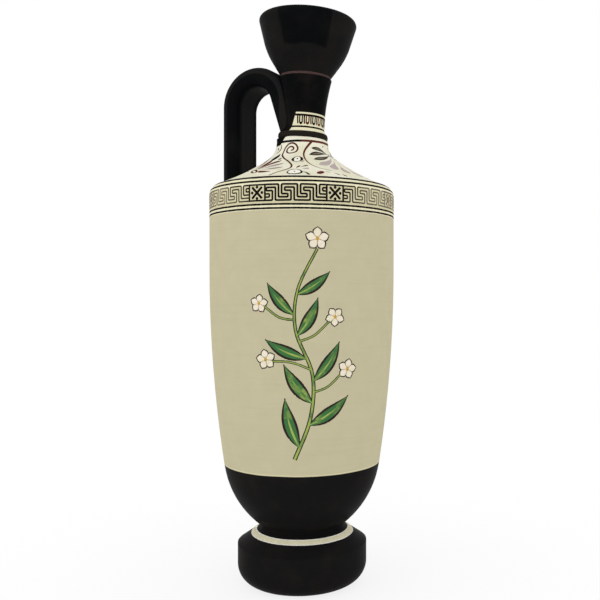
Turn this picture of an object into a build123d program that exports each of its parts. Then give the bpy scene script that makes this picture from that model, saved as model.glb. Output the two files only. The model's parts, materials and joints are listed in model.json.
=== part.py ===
"""White-ground lekythos, a ceramic oil flask that is thrown in sections and luted together.

The foot, body, shoulder, neck and mouth are turned sections. Each one seats in the next with a
tenon or a lip, and a pulled strap handle bridges the neck and the shoulder. Every joint is
bedded in a thin layer of clay slip. The flask stands on the XY plane with its axis on Z, its
handle lies along -X, and its neck leans a little away from the handle, as it dried.
"""

import os
from math import cos, radians, sin, tan

from build123d import *

os.makedirs("parts", exist_ok=True)

# Slip beds, in millimetres like every other length
slip = 0.5
slip_gap = 0.12  # hairline that drying leaves under the handle's beds
seam_slip = 0.8  # the bed under the mouth, which stays visible as a fine line

# Foot: a thick disc with a sloped top and a rounded edge, hollowed underneath
foot_radius = 35.0
foot_top = 30.5
foot_slope = 34.0  # degrees by which the top falls from the waist
foot_brow = 10.5  # rounding between the sloped top and the side
foot_edge = 11.0  # rounding between the side and the floor
rest_width = 6.0  # flat ring that the flask stands on
hollow_depth = 6.0

# Body: a bowl that rises from the waist, a long gentle flank and a straight drum
waist_radius = 22.0
bowl_radius = 42.0
bowl_height = 33.0
flank_height = 105.4
body_radius = 50.0
drum_height = 39.6
body_wall = 4.5
foot_tenon_radius = 12.0
foot_tenon_length = 8.0

# Shoulder: a concave cone from the rounded edge of the body up to the collar
edge_width = 3.5
edge_height = 4.6
collar_radius = 14.0
collar_height = 30.4  # on the axis, above the body's rim
collar_band = 1.5  # upright stretch at the top of the collar
cove_width = 4.6
cove_height = 9.1
lip_thickness = 3.5
lip_length = 4.0

# Neck: a slender tube with a ring at its base
neck_lean = 3.0  # degrees, towards +X
neck_offset = 0.2  # of the neck's foot from the body's axis, towards +X
bore_radius = 7.5
neck_tenon_radius = 10.4
neck_tenon_length = 5.0
ring_radius = 13.6
ring_bulge = 0.5
ring_height = 3.2
neck_radius = 11.4
neck_waist = 6.4  # height of the narrowest place above the neck's seat
neck_top_radius = 14.3
neck_length = 33.1

# Mouth: a deep calyx cup
mouth_base_radius = 13.4
mouth_flare_radius = 18.5
mouth_flare_height = 7.6
mouth_turn_radius = 23.0
mouth_turn_height = 16.7
mouth_radius = 27.3  # of the rim's corner, before it is rounded
mouth_height = 31.7
mouth_wall = 4.2
rim_round = 2.6
rim_inner_round = 1.1
mouth_tenon_radius = 9.5
mouth_tenon_length = 5.5
funnel_round = 1.5

# Handle: a strap that rises from the shoulder, arches over and runs down into the neck
strap_width = 22.0
strap_thickness = 10.2
strap_corner = 3.2
leg_offset = 40.8  # from the axis to the middle of the upright leg
arch_radius = 15.6
arch_height = 51.0  # of the arch's centre above the shoulder's seat
root_slant = 18.0  # degrees that the strap leans in where it meets the neck
root_length = 24.0

# Heights of the sections' seats on the axis
body_seat = foot_top + slip
bowl_top = body_seat + bowl_height
flank_top = bowl_top + flank_height
body_rim = flank_top + drum_height
shoulder_seat = body_rim + slip
collar_top = shoulder_seat + collar_height
neck_seat = collar_top + slip
mouth_base = neck_length + seam_slip  # measured along the leaning neck

# The leaning neck has a section plane of its own, with its heights along the lean
lean = radians(neck_lean)
neck_foot = (neck_offset, 0, neck_seat)
neck_section = Plane(origin=neck_foot, x_dir=(cos(lean), 0, -sin(lean)), z_dir=(0, -1, 0))
neck_axis = Axis(neck_foot, neck_section.y_dir)
neck_base = Plane(origin=neck_foot, z_dir=neck_section.y_dir)
collar_blank = collar_top + collar_radius * tan(lean) + slip  # before it is cut to the lean


def profile(plane, *corners):
    """A straight-sided profile on a section plane, from its (radius, height) corners."""
    with BuildSketch(plane) as outline:
        with BuildLine():
            Polyline(*corners, close=True)
        make_face()
    return outline.sketch


def shoulder_slope(lift=0.0):
    """The shoulder's outer line from the collar down its cone, raised by a lift."""
    collar_foot = collar_top - collar_band + lift
    upright = Line((collar_radius, collar_blank + lift), (collar_radius, collar_foot))
    cove = TangentArc(
        upright @ 1, (collar_radius + cove_width, collar_foot - cove_height), tangent=upright % 1
    )
    edge_start = (body_radius - edge_width, shoulder_seat + edge_height + lift)
    return TangentArc(cove @ 1, edge_start, tangent=cove % 1)


def shoulder_edge(cone, lift=0.0):
    """The rounded edge that carries the cone on to the body's side."""
    return TangentArc(cone @ 1, (body_radius, shoulder_seat + lift), tangent=cone % 1)


def neck_side(skin=0.0):
    """The neck's outer line from its seat up to its top, thickened by a skin."""
    ring_low = ring_radius - ring_bulge + skin
    ring = ThreePointArc(
        (ring_low, 0), (ring_radius + skin, ring_height / 2), (ring_low, ring_height)
    )
    waist = (neck_radius + skin, neck_waist)
    TangentArc(waist, ring @ 1, tangent=(0, -1))
    return TangentArc(waist, (neck_top_radius + skin, neck_length), tangent=(0, 1))


def mouth_side(skin=0.0):
    """The mouth's outer line from its base up to the corner of its rim."""
    flare = Line(
        (mouth_base_radius + skin, mouth_base),
        (mouth_flare_radius + skin, mouth_base + mouth_flare_height),
    )
    turn = TangentArc(
        flare @ 1, (mouth_turn_radius + skin, mouth_base + mouth_turn_height), tangent=flare % 1
    )
    return Line(turn @ 1, (mouth_radius + skin, mouth_base + mouth_height))


# The foot's sloped top meets the waist of the body, and holds the body's tenon
recess_radius = foot_tenon_radius + slip
recess_floor = body_seat - foot_tenon_length - slip
with BuildPart() as foot:
    with BuildSketch(Plane.XZ) as foot_profile:
        with BuildLine():
            rest_inner = foot_radius - foot_edge - rest_width
            hollow = TangentArc((0, hollow_depth), (rest_inner, 0), tangent=(1, 0))
            Polyline(
                hollow @ 1,
                (foot_radius, 0),
                (foot_radius, foot_top - (foot_radius - waist_radius) * tan(radians(foot_slope))),
                (waist_radius, foot_top),
                (recess_radius, foot_top),
                (recess_radius, recess_floor),
                (0, recess_floor),
                hollow @ 0,
            )
        make_face()
        side_ends = foot_profile.vertices().group_by(Axis.X)[-1].sort_by(Axis.Y)
        fillet(side_ends[0], foot_edge)
        fillet(side_ends[-1], foot_brow)
    revolve(axis=Axis.Z)
foot.part.label = "foot"

with BuildPart() as foot_luting:
    revolve(
        profile(
            Plane.XZ,
            (0, recess_floor),
            (recess_radius, recess_floor),
            (recess_radius, foot_top),
            (waist_radius, foot_top),
            (waist_radius, body_seat),
            (foot_tenon_radius, body_seat),
            (foot_tenon_radius, recess_floor + slip),
            (0, recess_floor + slip),
        ),
        axis=Axis.Z,
    )
foot_luting.part.label = "foot_luting"

# The body is turned as a solid, hollowed from its rim and given its tenon
with BuildPart() as body:
    with BuildSketch(Plane.XZ):
        with BuildLine():
            drum = Line((body_radius, body_rim), (body_radius, flank_top))
            flank = TangentArc(drum @ 1, (bowl_radius, bowl_top), tangent=drum % 1)
            bowl = TangentArc(flank @ 1, (waist_radius, body_seat), tangent=flank % 1)
            Polyline(bowl @ 1, (0, body_seat), (0, body_rim), drum @ 0)
        make_face()
    revolve(axis=Axis.Z)
    offset(amount=-body_wall, openings=body.faces().sort_by(Axis.Z)[-1])
    with BuildSketch(Plane.XY.offset(body_seat)):
        Circle(foot_tenon_radius)
    extrude(amount=-foot_tenon_length)
body.part.label = "body"

# The shoulder is an even wall under its slope, with a lip that drops inside the body's rim
lip_outer = body_radius - body_wall - slip
lip_inner = lip_outer - lip_thickness
lip_end = shoulder_seat - lip_length
with BuildPart() as shoulder:
    with BuildSketch(Plane.XZ):
        with BuildLine():
            cone = shoulder_slope()
            offset(amount=body_wall, side=Side.RIGHT)
        make_face()
        with BuildLine():
            edge = shoulder_edge(cone)
            Polyline(
                edge @ 1,
                (lip_outer, shoulder_seat),
                (lip_outer, lip_end),
                (lip_inner, lip_end),
                (lip_inner, shoulder_seat + body_wall * 2 / 3),
                edge @ 0,
            )
        make_face()
    revolve(axis=Axis.Z)
    split(bisect_by=neck_base.offset(-slip), keep=Keep.BOTTOM)
    with BuildSketch(neck_base):
        Circle(neck_tenon_radius + slip)
    extrude(amount=-neck_tenon_length - slip, mode=Mode.SUBTRACT)
shoulder.part.label = "shoulder"

with BuildPart() as shoulder_luting:
    revolve(
        profile(
            Plane.XZ,
            (lip_outer, lip_end),
            (lip_outer + slip, lip_end),
            (lip_outer + slip, body_rim),
            (body_radius, body_rim),
            (body_radius, shoulder_seat),
            (lip_outer, shoulder_seat),
        ),
        axis=Axis.Z,
    )
shoulder_luting.part.label = "shoulder_luting"

# The neck's spigot stands in the collar, and its top is bored out for the mouth's tenon
socket_radius = mouth_tenon_radius + slip
socket_floor = mouth_base - mouth_tenon_length - slip
with BuildPart() as neck:
    with BuildSketch(neck_section):
        with BuildLine():
            neck_side()
            Polyline(
                (neck_top_radius, neck_length),
                (socket_radius, neck_length),
                (socket_radius, socket_floor),
                (bore_radius, socket_floor),
                (bore_radius, -neck_tenon_length),
                (neck_tenon_radius, -neck_tenon_length),
                (neck_tenon_radius, 0),
                (ring_radius - ring_bulge, 0),
            )
        make_face()
    revolve(axis=neck_axis)
neck.part.label = "neck"

with BuildPart() as neck_luting:
    revolve(
        profile(
            neck_section,
            (neck_tenon_radius, -neck_tenon_length),
            (neck_tenon_radius + slip, -neck_tenon_length),
            (neck_tenon_radius + slip, -slip),
            (ring_radius - ring_bulge, -slip),
            (ring_radius - ring_bulge, 0),
            (neck_tenon_radius, 0),
        ),
        axis=neck_axis,
    )
neck_luting.part.label = "neck_luting"

# The mouth is a turned cup with a rounded rim, bored through its tenon
with BuildPart() as mouth:
    with BuildSketch(neck_section):
        with BuildLine():
            calyx = mouth_side()
            Polyline(
                calyx @ 1,
                (0, mouth_base + mouth_height),
                (0, mouth_base),
                (mouth_base_radius, mouth_base),
            )
        make_face()
    revolve(axis=neck_axis)
    offset(amount=-mouth_wall, openings=mouth.faces().sort_by(neck_axis)[-1])
    rim = mouth.faces().sort_by(neck_axis)[-1].edges().sort_by(SortBy.RADIUS)
    fillet(rim[-1], min(rim_round, 0.6 * mouth_wall))
    fillet(rim[0], min(rim_inner_round, 0.3 * mouth_wall))
    with BuildSketch(neck_base.offset(mouth_base)):
        Circle(mouth_tenon_radius)
    extrude(amount=-mouth_tenon_length)
    with BuildSketch(neck_base.offset(mouth_base + mouth_wall)):
        Circle(bore_radius)
    extrude(amount=-mouth_wall - mouth_tenon_length, mode=Mode.SUBTRACT)
    floor_edge = mouth.edges().filter_by(GeomType.CIRCLE).filter_by(
        lambda e: abs(e.radius - bore_radius) < slip / 10
    )
    fillet(floor_edge.sort_by(neck_axis)[-1], min(funnel_round, mouth_wall / 2))
mouth.part.label = "mouth"

with BuildPart() as mouth_luting:
    revolve(
        profile(
            neck_section,
            (bore_radius, socket_floor),
            (socket_radius, socket_floor),
            (socket_radius, neck_length),
            (mouth_base_radius, neck_length),
            (mouth_base_radius, mouth_base),
            (mouth_tenon_radius, mouth_base),
            (mouth_tenon_radius, socket_floor + slip),
            (bore_radius, socket_floor + slip),
        ),
        axis=neck_axis,
    )
mouth_luting.part.label = "mouth_luting"


def vessel_core(skin):
    """The closed outer form of the shoulder, neck and mouth under a skin of slip."""
    with BuildPart() as core:
        with BuildSketch(Plane.XZ):
            with BuildLine():
                core_edge = shoulder_edge(shoulder_slope(skin), skin)
                Polyline(
                    core_edge @ 1,
                    (0, shoulder_seat + skin),
                    (0, collar_blank + skin),
                    (collar_radius, collar_blank + skin),
                )
            make_face()
        revolve(axis=Axis.Z)
        split(bisect_by=neck_base, keep=Keep.BOTTOM)
        with BuildSketch(neck_section):
            with BuildLine():
                neck_side(skin)
                calyx_line = mouth_side(skin)
                Line((neck_top_radius + skin, neck_length), (mouth_base_radius + skin, mouth_base))
                Polyline(
                    calyx_line @ 1,
                    (0, mouth_base + mouth_height),
                    (0, 0),
                    (ring_radius - ring_bulge + skin, 0),
                )
            make_face()
        revolve(axis=neck_axis)
    return core.part


# The strap is pulled as one even bar, which starts inside the shoulder and ends inside the neck,
# above the neck's ring
arch_centre = shoulder_seat + arch_height
with BuildPart() as strap:
    with BuildLine(Plane.XZ):
        leg = Line((-leg_offset, shoulder_seat + 2 * slip), (-leg_offset, arch_centre))
        arch = CenterArc(
            (-leg_offset + arch_radius, arch_centre), arch_radius, 180, root_slant - 180
        )
        Line(arch @ 1, arch @ 1 + (arch % 1) * root_length)
    with BuildSketch(Plane(origin=leg @ 0, x_dir=(1, 0, 0), z_dir=leg % 0)):
        RectangleRounded(strap_thickness, strap_width, strap_corner)
    sweep()
    with BuildSketch(neck_base.offset(ring_height)):
        Circle(leg_offset - strap_thickness)
    extrude(amount=-root_length, mode=Mode.SUBTRACT)

slipped_core = vessel_core(slip)
with BuildPart() as handle:
    add(strap.part)
    add(slipped_core, mode=Mode.SUBTRACT)
handle.part.label = "handle"

# What the strap loses to the skin of slip is the bed of each of its roots
with BuildPart() as handle_beds:
    add(strap.part)
    add(slipped_core, mode=Mode.INTERSECT)
    add(vessel_core(slip_gap), mode=Mode.SUBTRACT)
beds = handle_beds.solids().sort_by(Axis.Z)

with BuildPart() as handle_shoulder_luting:
    add(beds[0])
handle_shoulder_luting.part.label = "handle_shoulder_luting"

with BuildPart() as handle_neck_luting:
    add(beds[1:])
handle_neck_luting.part.label = "handle_neck_luting"

pieces = (
    foot,
    foot_luting,
    body,
    shoulder_luting,
    shoulder,
    neck_luting,
    neck,
    mouth_luting,
    mouth,
    handle_shoulder_luting,
    handle_neck_luting,
    handle,
)
for piece in pieces:
    export_step(piece.part, f"parts/{piece.part.label}.step")
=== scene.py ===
"""Glazes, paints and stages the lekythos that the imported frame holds."""

import json
import math
from bisect import bisect
from collections import namedtuple

import bmesh
import bpy
from bpy.props import FloatProperty, FloatVectorProperty, IntProperty, PointerProperty
from mathutils import Color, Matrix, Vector, noise
from mathutils.bvhtree import BVHTree
from mathutils.geometry import interpolate_bezier


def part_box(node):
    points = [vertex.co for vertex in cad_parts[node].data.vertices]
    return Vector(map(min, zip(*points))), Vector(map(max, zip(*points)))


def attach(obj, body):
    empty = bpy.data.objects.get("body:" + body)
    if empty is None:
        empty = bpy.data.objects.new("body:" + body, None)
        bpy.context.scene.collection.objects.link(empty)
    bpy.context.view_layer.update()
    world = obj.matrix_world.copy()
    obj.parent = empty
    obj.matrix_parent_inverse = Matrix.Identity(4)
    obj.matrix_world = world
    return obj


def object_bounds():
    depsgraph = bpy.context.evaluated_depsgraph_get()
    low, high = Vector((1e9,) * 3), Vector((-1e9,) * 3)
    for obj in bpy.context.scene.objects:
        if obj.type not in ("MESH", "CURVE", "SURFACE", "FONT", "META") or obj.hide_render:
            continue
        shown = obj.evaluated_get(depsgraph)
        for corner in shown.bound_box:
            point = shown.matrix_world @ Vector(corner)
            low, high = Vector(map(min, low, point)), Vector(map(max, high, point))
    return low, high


bl_info = {
    "name": "Lekythos dressing",
    "version": (1, 0, 0),
    "blender": (4, 5, 0),
    "location": "View3D > Sidebar > Lekythos",
    "description": "Glazes, paints and stages a white-ground lekythos",
    "category": "Object",
}

MM = 0.001

# Sheen of glaze and of dry paint, and the refractive index under both. They are low, as on worn pottery.
GLAZE_GLOSS = 0.045
GROUND_GLOSS = 0.08
SURFACE_INDEX = 1.2

# The turn, in degrees, at which the meander has kept its paint best.
FRESH_TURN = 27

# How far the mount in the neck's bore stands over the neck's seat, in millimetres.
BORE_RISE = 20

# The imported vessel: its box, its rim under the shoulder and the leaning neck.
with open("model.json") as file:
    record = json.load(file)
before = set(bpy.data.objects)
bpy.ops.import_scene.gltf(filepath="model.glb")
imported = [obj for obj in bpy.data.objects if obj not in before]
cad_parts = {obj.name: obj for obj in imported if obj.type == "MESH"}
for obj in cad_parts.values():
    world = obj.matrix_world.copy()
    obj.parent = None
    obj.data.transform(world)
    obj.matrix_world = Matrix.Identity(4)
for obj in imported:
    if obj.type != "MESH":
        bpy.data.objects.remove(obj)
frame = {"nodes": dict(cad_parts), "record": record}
cad_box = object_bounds()
body_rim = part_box("body")[1].z / MM
body_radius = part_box("body")[1].x / MM
neck_bore = next(mount for mount in frame["record"]["mounts"] if mount["name"] == "neck_bore")
neck_axis = Vector(neck_bore["axis"])
neck_seat = Vector(neck_bore["pos_m"]) - neck_axis * BORE_RISE * MM


def heading(turn):
    """The level direction at a turn round the vessel, in degrees from the front."""
    angle = math.radians(turn)
    return Vector((math.sin(angle), -math.cos(angle), 0))


def shade(*levels):
    """The linear colour of a paint that shows as these 8-bit levels."""
    return tuple(Color([level / 255 for level in levels]).from_srgb_to_scene_linear())


def colour(name, description, *levels):
    """A colour that a user may change."""
    return FloatVectorProperty(
        name=name, description=description, subtype="COLOR", size=3, min=0, max=1, default=shade(*levels)
    )


def length(name, description, millimetres):
    """A size that a user may change, given in millimetres and kept in metres."""
    return FloatProperty(
        name=name, description=description, unit="LENGTH", precision=4, default=millimetres * MM
    )


def bearing(name, description, degrees):
    """An angle that a user may change, given in degrees."""
    return FloatProperty(name=name, description=description, subtype="ANGLE", default=math.radians(degrees))


class LekythosPaints(bpy.types.PropertyGroup):
    """Colours of the glaze, the grounds and the painted ornament."""

    glaze: colour("Black glaze", "Black of the foot, bowl and mouth", 23, 23, 23)
    # The deep glaze: the neck's own deeper black, and also the painted dark reflections on the mouth and the
    # strap's sides.
    deep_glaze: colour("Deep glaze", "Deeper black of the neck, strap's sides and pours", 11, 12, 13)
    # The strap's greyer black is painted sheen on the handle's faces.
    strap_glaze_and_painted_sheen: colour("Strap glaze", "Greyer black of the handle's broad faces", 29, 29, 29)
    thin_glaze: colour("Thin glaze", "Brownish black where the glaze lies thin", 38, 33, 29)
    field: colour("Field", "Buff ground round the body", 196, 189, 157)
    band: colour("Band", "Ground behind the meander", 212, 205, 169)
    cream: colour("Cream", "Pale ground of the lines, the tongues and the foot's stripe", 235, 229, 195)
    ivory: colour("Ivory", "Pale ground of the shoulder", 231, 228, 202)
    white: colour("White", "Clear white of the eyes, the stripe's rims and the shoulder", 247, 244, 230)
    line: colour("Line", "Fresh black-brown of the drawn lines", 22, 19, 18)
    worn_line: colour("Worn line", "Drawn lines where they have faded", 112, 98, 84)
    worn_key: colour("Worn key", "Meander where it has faded", 122, 112, 96)
    red: colour("Red", "Dark red-brown of arcs and tongues", 100, 46, 36)
    tendril: colour("Tendril", "Thin red-brown of the tendrils", 92, 54, 42)
    leaf: colour("Palmette leaf", "Grey-brown of the palmettes' strong leaves", 66, 57, 50)
    leaf_core: colour("Leaf core", "Grey of the strong leaves' hearts", 128, 120, 102)
    faded_leaf: colour("Faded leaf", "Pinkish grey of the palmettes' worn leaves", 190, 176, 174)
    seam: colour("Seam", "Purple-brown slip under the mouth", 92, 72, 70)
    green: colour("Leaf green", "Green of the sprig's leaves", 66, 116, 68)
    lime: colour("Young green", "Yellow-green along the leaves and the stem", 158, 180, 92)
    petal: colour("Petal", "Warm white of the blossoms", 246, 234, 214)
    pollen: colour("Pollen", "Yellow of the blossoms' hearts", 206, 164, 74)
    outline: colour("Outline", "Dark line round leaves and petals", 52, 44, 40)


class LekythosBands(bpy.types.PropertyGroup):
    """Heights and widths of the painted bands."""

    bowl_edge: length("Bowl edge", "Height where the black bowl ends and the buff field begins", 65.1)
    field_top: length("Field top", "Height where the buff field ends under the meander", 196.9)
    meander_foot: length("Meander foot", "Height of the keys' lowest line", 201.5)
    meander_row: length("Meander row", "Step between the keys' lines, upwards", 1.56)
    line_width: length("Line width", "Width of the lines round the body", 0.98)
    key_width: length("Key width", "Width of the keys' lines", 0.95)
    square_width: length("Square width", "Width of a saltire square over its bars", 9.6)
    stripe_radius: length("Stripe radius", "Radius of the pale stripe on the foot", 26.2)
    stripe_width: length("Stripe width", "Width of the pale stripe on the foot", 3.7)
    squares: IntProperty(name="Squares", description="Saltire squares round the body", default=8, min=2)
    tongues: IntProperty(name="Tongues", description="Tongues round the neck", default=20, min=4)


class LekythosStudio(bpy.types.PropertyGroup):
    """Camera and light of the studio."""

    turn: bearing("Turn", "Camera's place round the vessel", 30)
    distance: length("Distance", "From the camera to the vessel's axis", 433.7)
    height: length("Height", "Camera's height", 152.9)
    swing: bearing("Swing", "Camera's turn away from the axis", 5.2)
    lens: FloatProperty(
        name="Lens", description="Focal length in millimetres", subtype="DISTANCE_CAMERA", default=47.2
    )
    shift: FloatProperty(
        name="Shift", description="Sideways shift that brings the vessel back", default=-0.1235
    )
    sky: FloatProperty(name="Sky", description="Strength of the even light all round", default=0.92, min=0)
    key: FloatProperty(
        name="Key", description="Power of the soft lamp at the left", subtype="POWER", default=3.0
    )
    fill: FloatProperty(
        name="Fill", description="Power of the soft lamp at the right", subtype="POWER", default=1.2
    )


# Shader nodes.


def socket_of(sockets, name):
    """A node's socket by its identifier, or else by the name that it shows."""
    for socket in sockets:
        if socket.identifier == name:
            return socket
    return next(socket for socket in sockets if socket.enabled and socket.name == name)


class Wire:
    """A node's output, which joins in sums as a number does."""

    def __init__(self, finish, socket):
        self.finish = finish
        self.socket = socket

    def __getitem__(self, name):
        return Wire(self.finish, socket_of(self.socket.node.outputs, name))

    def __add__(self, other):
        return self.finish.reckon("ADD", self, other)

    def __radd__(self, other):
        return self.finish.reckon("ADD", other, self)

    def __sub__(self, other):
        return self.finish.reckon("SUBTRACT", self, other)

    def __rsub__(self, other):
        return self.finish.reckon("SUBTRACT", other, self)

    def __mul__(self, other):
        return self.finish.reckon("MULTIPLY", self, other)

    def __rmul__(self, other):
        return self.finish.reckon("MULTIPLY", other, self)

    def __truediv__(self, other):
        return self.finish.reckon("DIVIDE", self, other)

    def __rtruediv__(self, other):
        return self.finish.reckon("DIVIDE", other, self)

    def __pow__(self, other):
        return self.finish.reckon("POWER", self, other)

    def __rpow__(self, other):
        return self.finish.reckon("POWER", other, self)

    def __abs__(self):
        return self.finish.reckon("ABSOLUTE", self)


Coat = namedtuple("Coat", "colour roughness relief")


class Finish:
    """The node tree of a material or a world, written in the order that it is worked out."""

    def __init__(self, owner):
        owner.use_nodes = True
        self.owner = owner
        self.tree = owner.node_tree
        self.tree.nodes.clear()

    def node(self, kind, settings=None, sockets=None):
        """A new node: its settings first, then the values or links of its sockets."""
        made = self.tree.nodes.new(kind)
        for name, value in (settings or {}).items():
            setattr(made, name, value)
        for name, value in (sockets or {}).items():
            socket = socket_of(made.inputs, name)
            if isinstance(value, Wire):
                self.tree.links.new(value.socket, socket)
            elif socket.type == "RGBA":
                socket.default_value = (*value, 1)
            else:
                socket.default_value = value
        shown = [socket for socket in made.outputs if socket.enabled]
        return Wire(self, shown[0]) if shown else None

    def reckon(self, operation, *terms):
        """A sum on one or two values."""
        sockets = dict(zip(("Value", "Value_001"), terms))
        return self.node("ShaderNodeMath", {"operation": operation}, sockets)

    def vector(self, operation, *terms):
        """A sum on one or two vectors."""
        sockets = dict(zip(("Vector", "Vector_001"), terms))
        return self.node("ShaderNodeVectorMath", {"operation": operation}, sockets)

    def split(self, vector):
        """A vector's parts, by the names X, Y and Z."""
        return self.node("ShaderNodeSeparateXYZ", None, {"Vector": vector})

    def place(self):
        """Where a point lies on the vessel, in metres."""
        return self.node("ShaderNodeTexCoord")["Object"]

    def mix(self, share, first, second):
        """A colour between two."""
        sockets = {"Factor_Float": share, "A_Color": first, "B_Color": second}
        return self.node("ShaderNodeMix", {"data_type": "RGBA"}, sockets)

    def rise(self, value, start, soft):
        """0 below a start and 1 above it, with a soft edge."""
        sockets = {"Value": value, "From Min": start - soft / 2, "From Max": start + soft / 2}
        return self.node("ShaderNodeMapRange", {"interpolation_type": "SMOOTHSTEP"}, sockets)

    def cloud(self, size, detail, stretch=(1, 1, 1)):
        """Soft lumps about as large as a size in metres."""
        sockets = {"Vector": self.place(), "Scale": [part / size for part in stretch]}
        spread = self.node("ShaderNodeMapping", None, sockets)
        sockets = {"Vector": spread, "Scale": 1, "Detail": detail, "Roughness": 0.55}
        return self.node("ShaderNodeTexNoise", None, sockets)

    def lay(self, under, over, mask):
        """One coat over another, where a mask is 1."""
        return Coat(
            colour=self.mix(mask, under.colour, over.colour),
            roughness=under.roughness + (over.roughness - under.roughness) * mask,
            relief=under.relief + (over.relief - under.relief) * mask,
        )

    def fire(self, coat, gloss, depth=0.12 * MM):
        """Ends a material with a coat, its gloss and the depth of its relief, and gives it out."""
        bump = self.node("ShaderNodeBump", None, {"Strength": 1, "Distance": depth, "Height": coat.relief})
        sockets = {
            "Base Color": coat.colour,
            "Roughness": coat.roughness,
            "Specular IOR Level": gloss,
            "IOR": SURFACE_INDEX,
            "Normal": bump,
        }
        surface = self.node("ShaderNodeBsdfPrincipled", None, sockets)
        self.node("ShaderNodeOutputMaterial", None, {"Surface": surface})
        return self.owner


def new_finish(name):
    """The empty node tree of a new material."""
    return Finish(bpy.data.materials.new(name))


def sway(cloud, reach):
    """A cloud's rise and fall about its middle, over a reach in all."""
    return (cloud - 0.5) * reach


def toned(tint, tone):
    """A paint made lighter or darker."""
    return [min(1, part * tone) for part in tint]


def wheel_marks(finish, pitch):
    """Faint rings that the potter's fingers left, a pitch apart."""
    along_ring = 0.04
    return finish.cloud(pitch, detail=2, stretch=(along_ring, along_ring, 1))


def glaze_coat(finish, black, brown):
    """Black glaze: brown where it thins, a little uneven in its shine, and finely pitted."""
    brownest = 0.45
    ring_depth = 0.6
    pit_depth = 0.25
    bloom = finish.cloud(16 * MM, detail=4)
    thin = finish.rise(bloom, start=0.6, soft=0.3)
    pits = finish.rise(finish.cloud(0.8 * MM, detail=2), start=0.3, soft=0.14)
    return Coat(
        colour=finish.mix(thin * brownest, black, brown),
        roughness=0.36 + 0.2 * bloom,
        relief=wheel_marks(finish, 2.6 * MM) * ring_depth + pits * pit_depth,
    )


def ground_coat(finish, tint):
    """Pale ground: brushed on in turns, slightly mottled and specked."""
    light_tone = 1.05
    streak_tone, streak_share = 0.86, 0.2
    speck_tone, speck_share = 0.6, 0.35
    brushed = wheel_marks(finish, 1.7 * MM)
    mottle = finish.cloud(9 * MM, detail=5)
    specks = finish.rise(finish.cloud(0.7 * MM, detail=1), start=0.74, soft=0.06)
    streaks = finish.rise(brushed, start=0.62, soft=0.3)
    base = finish.mix(finish.rise(mottle, start=0.5, soft=0.5), toned(tint, light_tone), tint)
    streaked = finish.mix(streaks * streak_share, base, toned(tint, streak_tone))
    return Coat(
        colour=finish.mix(specks * speck_share, streaked, toned(tint, speck_tone)),
        roughness=0.62 + 0.12 * mottle,
        relief=brushed * 0.55 + mottle * 0.2 - specks * 0.15,
    )


def glaze_finish(name, black, brown):
    """Plain black glaze."""
    finish = new_finish(name)
    return finish.fire(glaze_coat(finish, black, brown), GLAZE_GLOSS)


def ground_finish(name, tint):
    """Plain pale ground."""
    finish = new_finish(name)
    return finish.fire(ground_coat(finish, tint), GROUND_GLOSS)


def body_finish(paints, bands):
    """The body: black bowl, buff field with a paler foot, cream for the lines, and the meander's ground."""
    edge = 0.25 * MM
    pale_foot = 0.7 * MM
    under_keys = 1.4 * MM
    finish = new_finish("body_ground")
    height = finish.split(finish.place())["Z"]
    uneven = height + sway(finish.cloud(22 * MM, detail=2), 0.9 * MM)
    band = ground_coat(finish, paints.band)
    coat = glaze_coat(finish, paints.glaze, paints.thin_glaze)
    grounds = (
        (band, uneven, bands.bowl_edge),
        (ground_coat(finish, paints.field), uneven, bands.bowl_edge + pale_foot),
        (ground_coat(finish, paints.cream), height, bands.field_top),
        (band, height, bands.meander_foot - under_keys),
    )
    for ground, level, start in grounds:
        coat = finish.lay(coat, ground, finish.rise(level, start, edge))
    return finish.fire(coat, GLAZE_GLOSS)


def up_the_neck(finish):
    """A point's height over the neck's seat along its lean, and its place ahead and aside of that line."""
    above = finish.vector("SUBTRACT", finish.place(), neck_seat)
    climb = finish.vector("DOT_PRODUCT", above, neck_axis)["Value"]
    level = finish.split(above)
    return climb, level["X"] - climb * neck_axis.x, level["Y"]


def mouth_finish(paints):
    """The mouth: black, and deeper in places evenly round it: painted dark reflections on the glaze."""
    painted_reflections = 3
    first_turn = math.radians(26)
    half_turn = math.radians(31)
    reflection_foot = 46.5 * MM
    finish = new_finish("mouth_glaze_and_painted_reflections")
    climb, ahead, aside = up_the_neck(finish)
    ragged = finish.cloud(14 * MM, detail=2)
    turn = finish.reckon("ARCTAN2", ahead, 0 - aside)
    wave = finish.reckon("COSINE", (turn - first_turn) * painted_reflections)
    wide = finish.rise(wave + sway(ragged, 0.5), start=math.cos(half_turn * painted_reflections), soft=0.25)
    high = finish.rise(climb + sway(ragged, 4 * MM), start=reflection_foot, soft=1.6 * MM)
    coat = glaze_coat(finish, paints.glaze, paints.thin_glaze)
    # Painted dark reflections: deeper black in three soft patches round the mouth's upper part.
    coat = finish.lay(coat, glaze_coat(finish, paints.deep_glaze, paints.glaze), wide * high)
    return finish.fire(coat, GLAZE_GLOSS)


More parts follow.
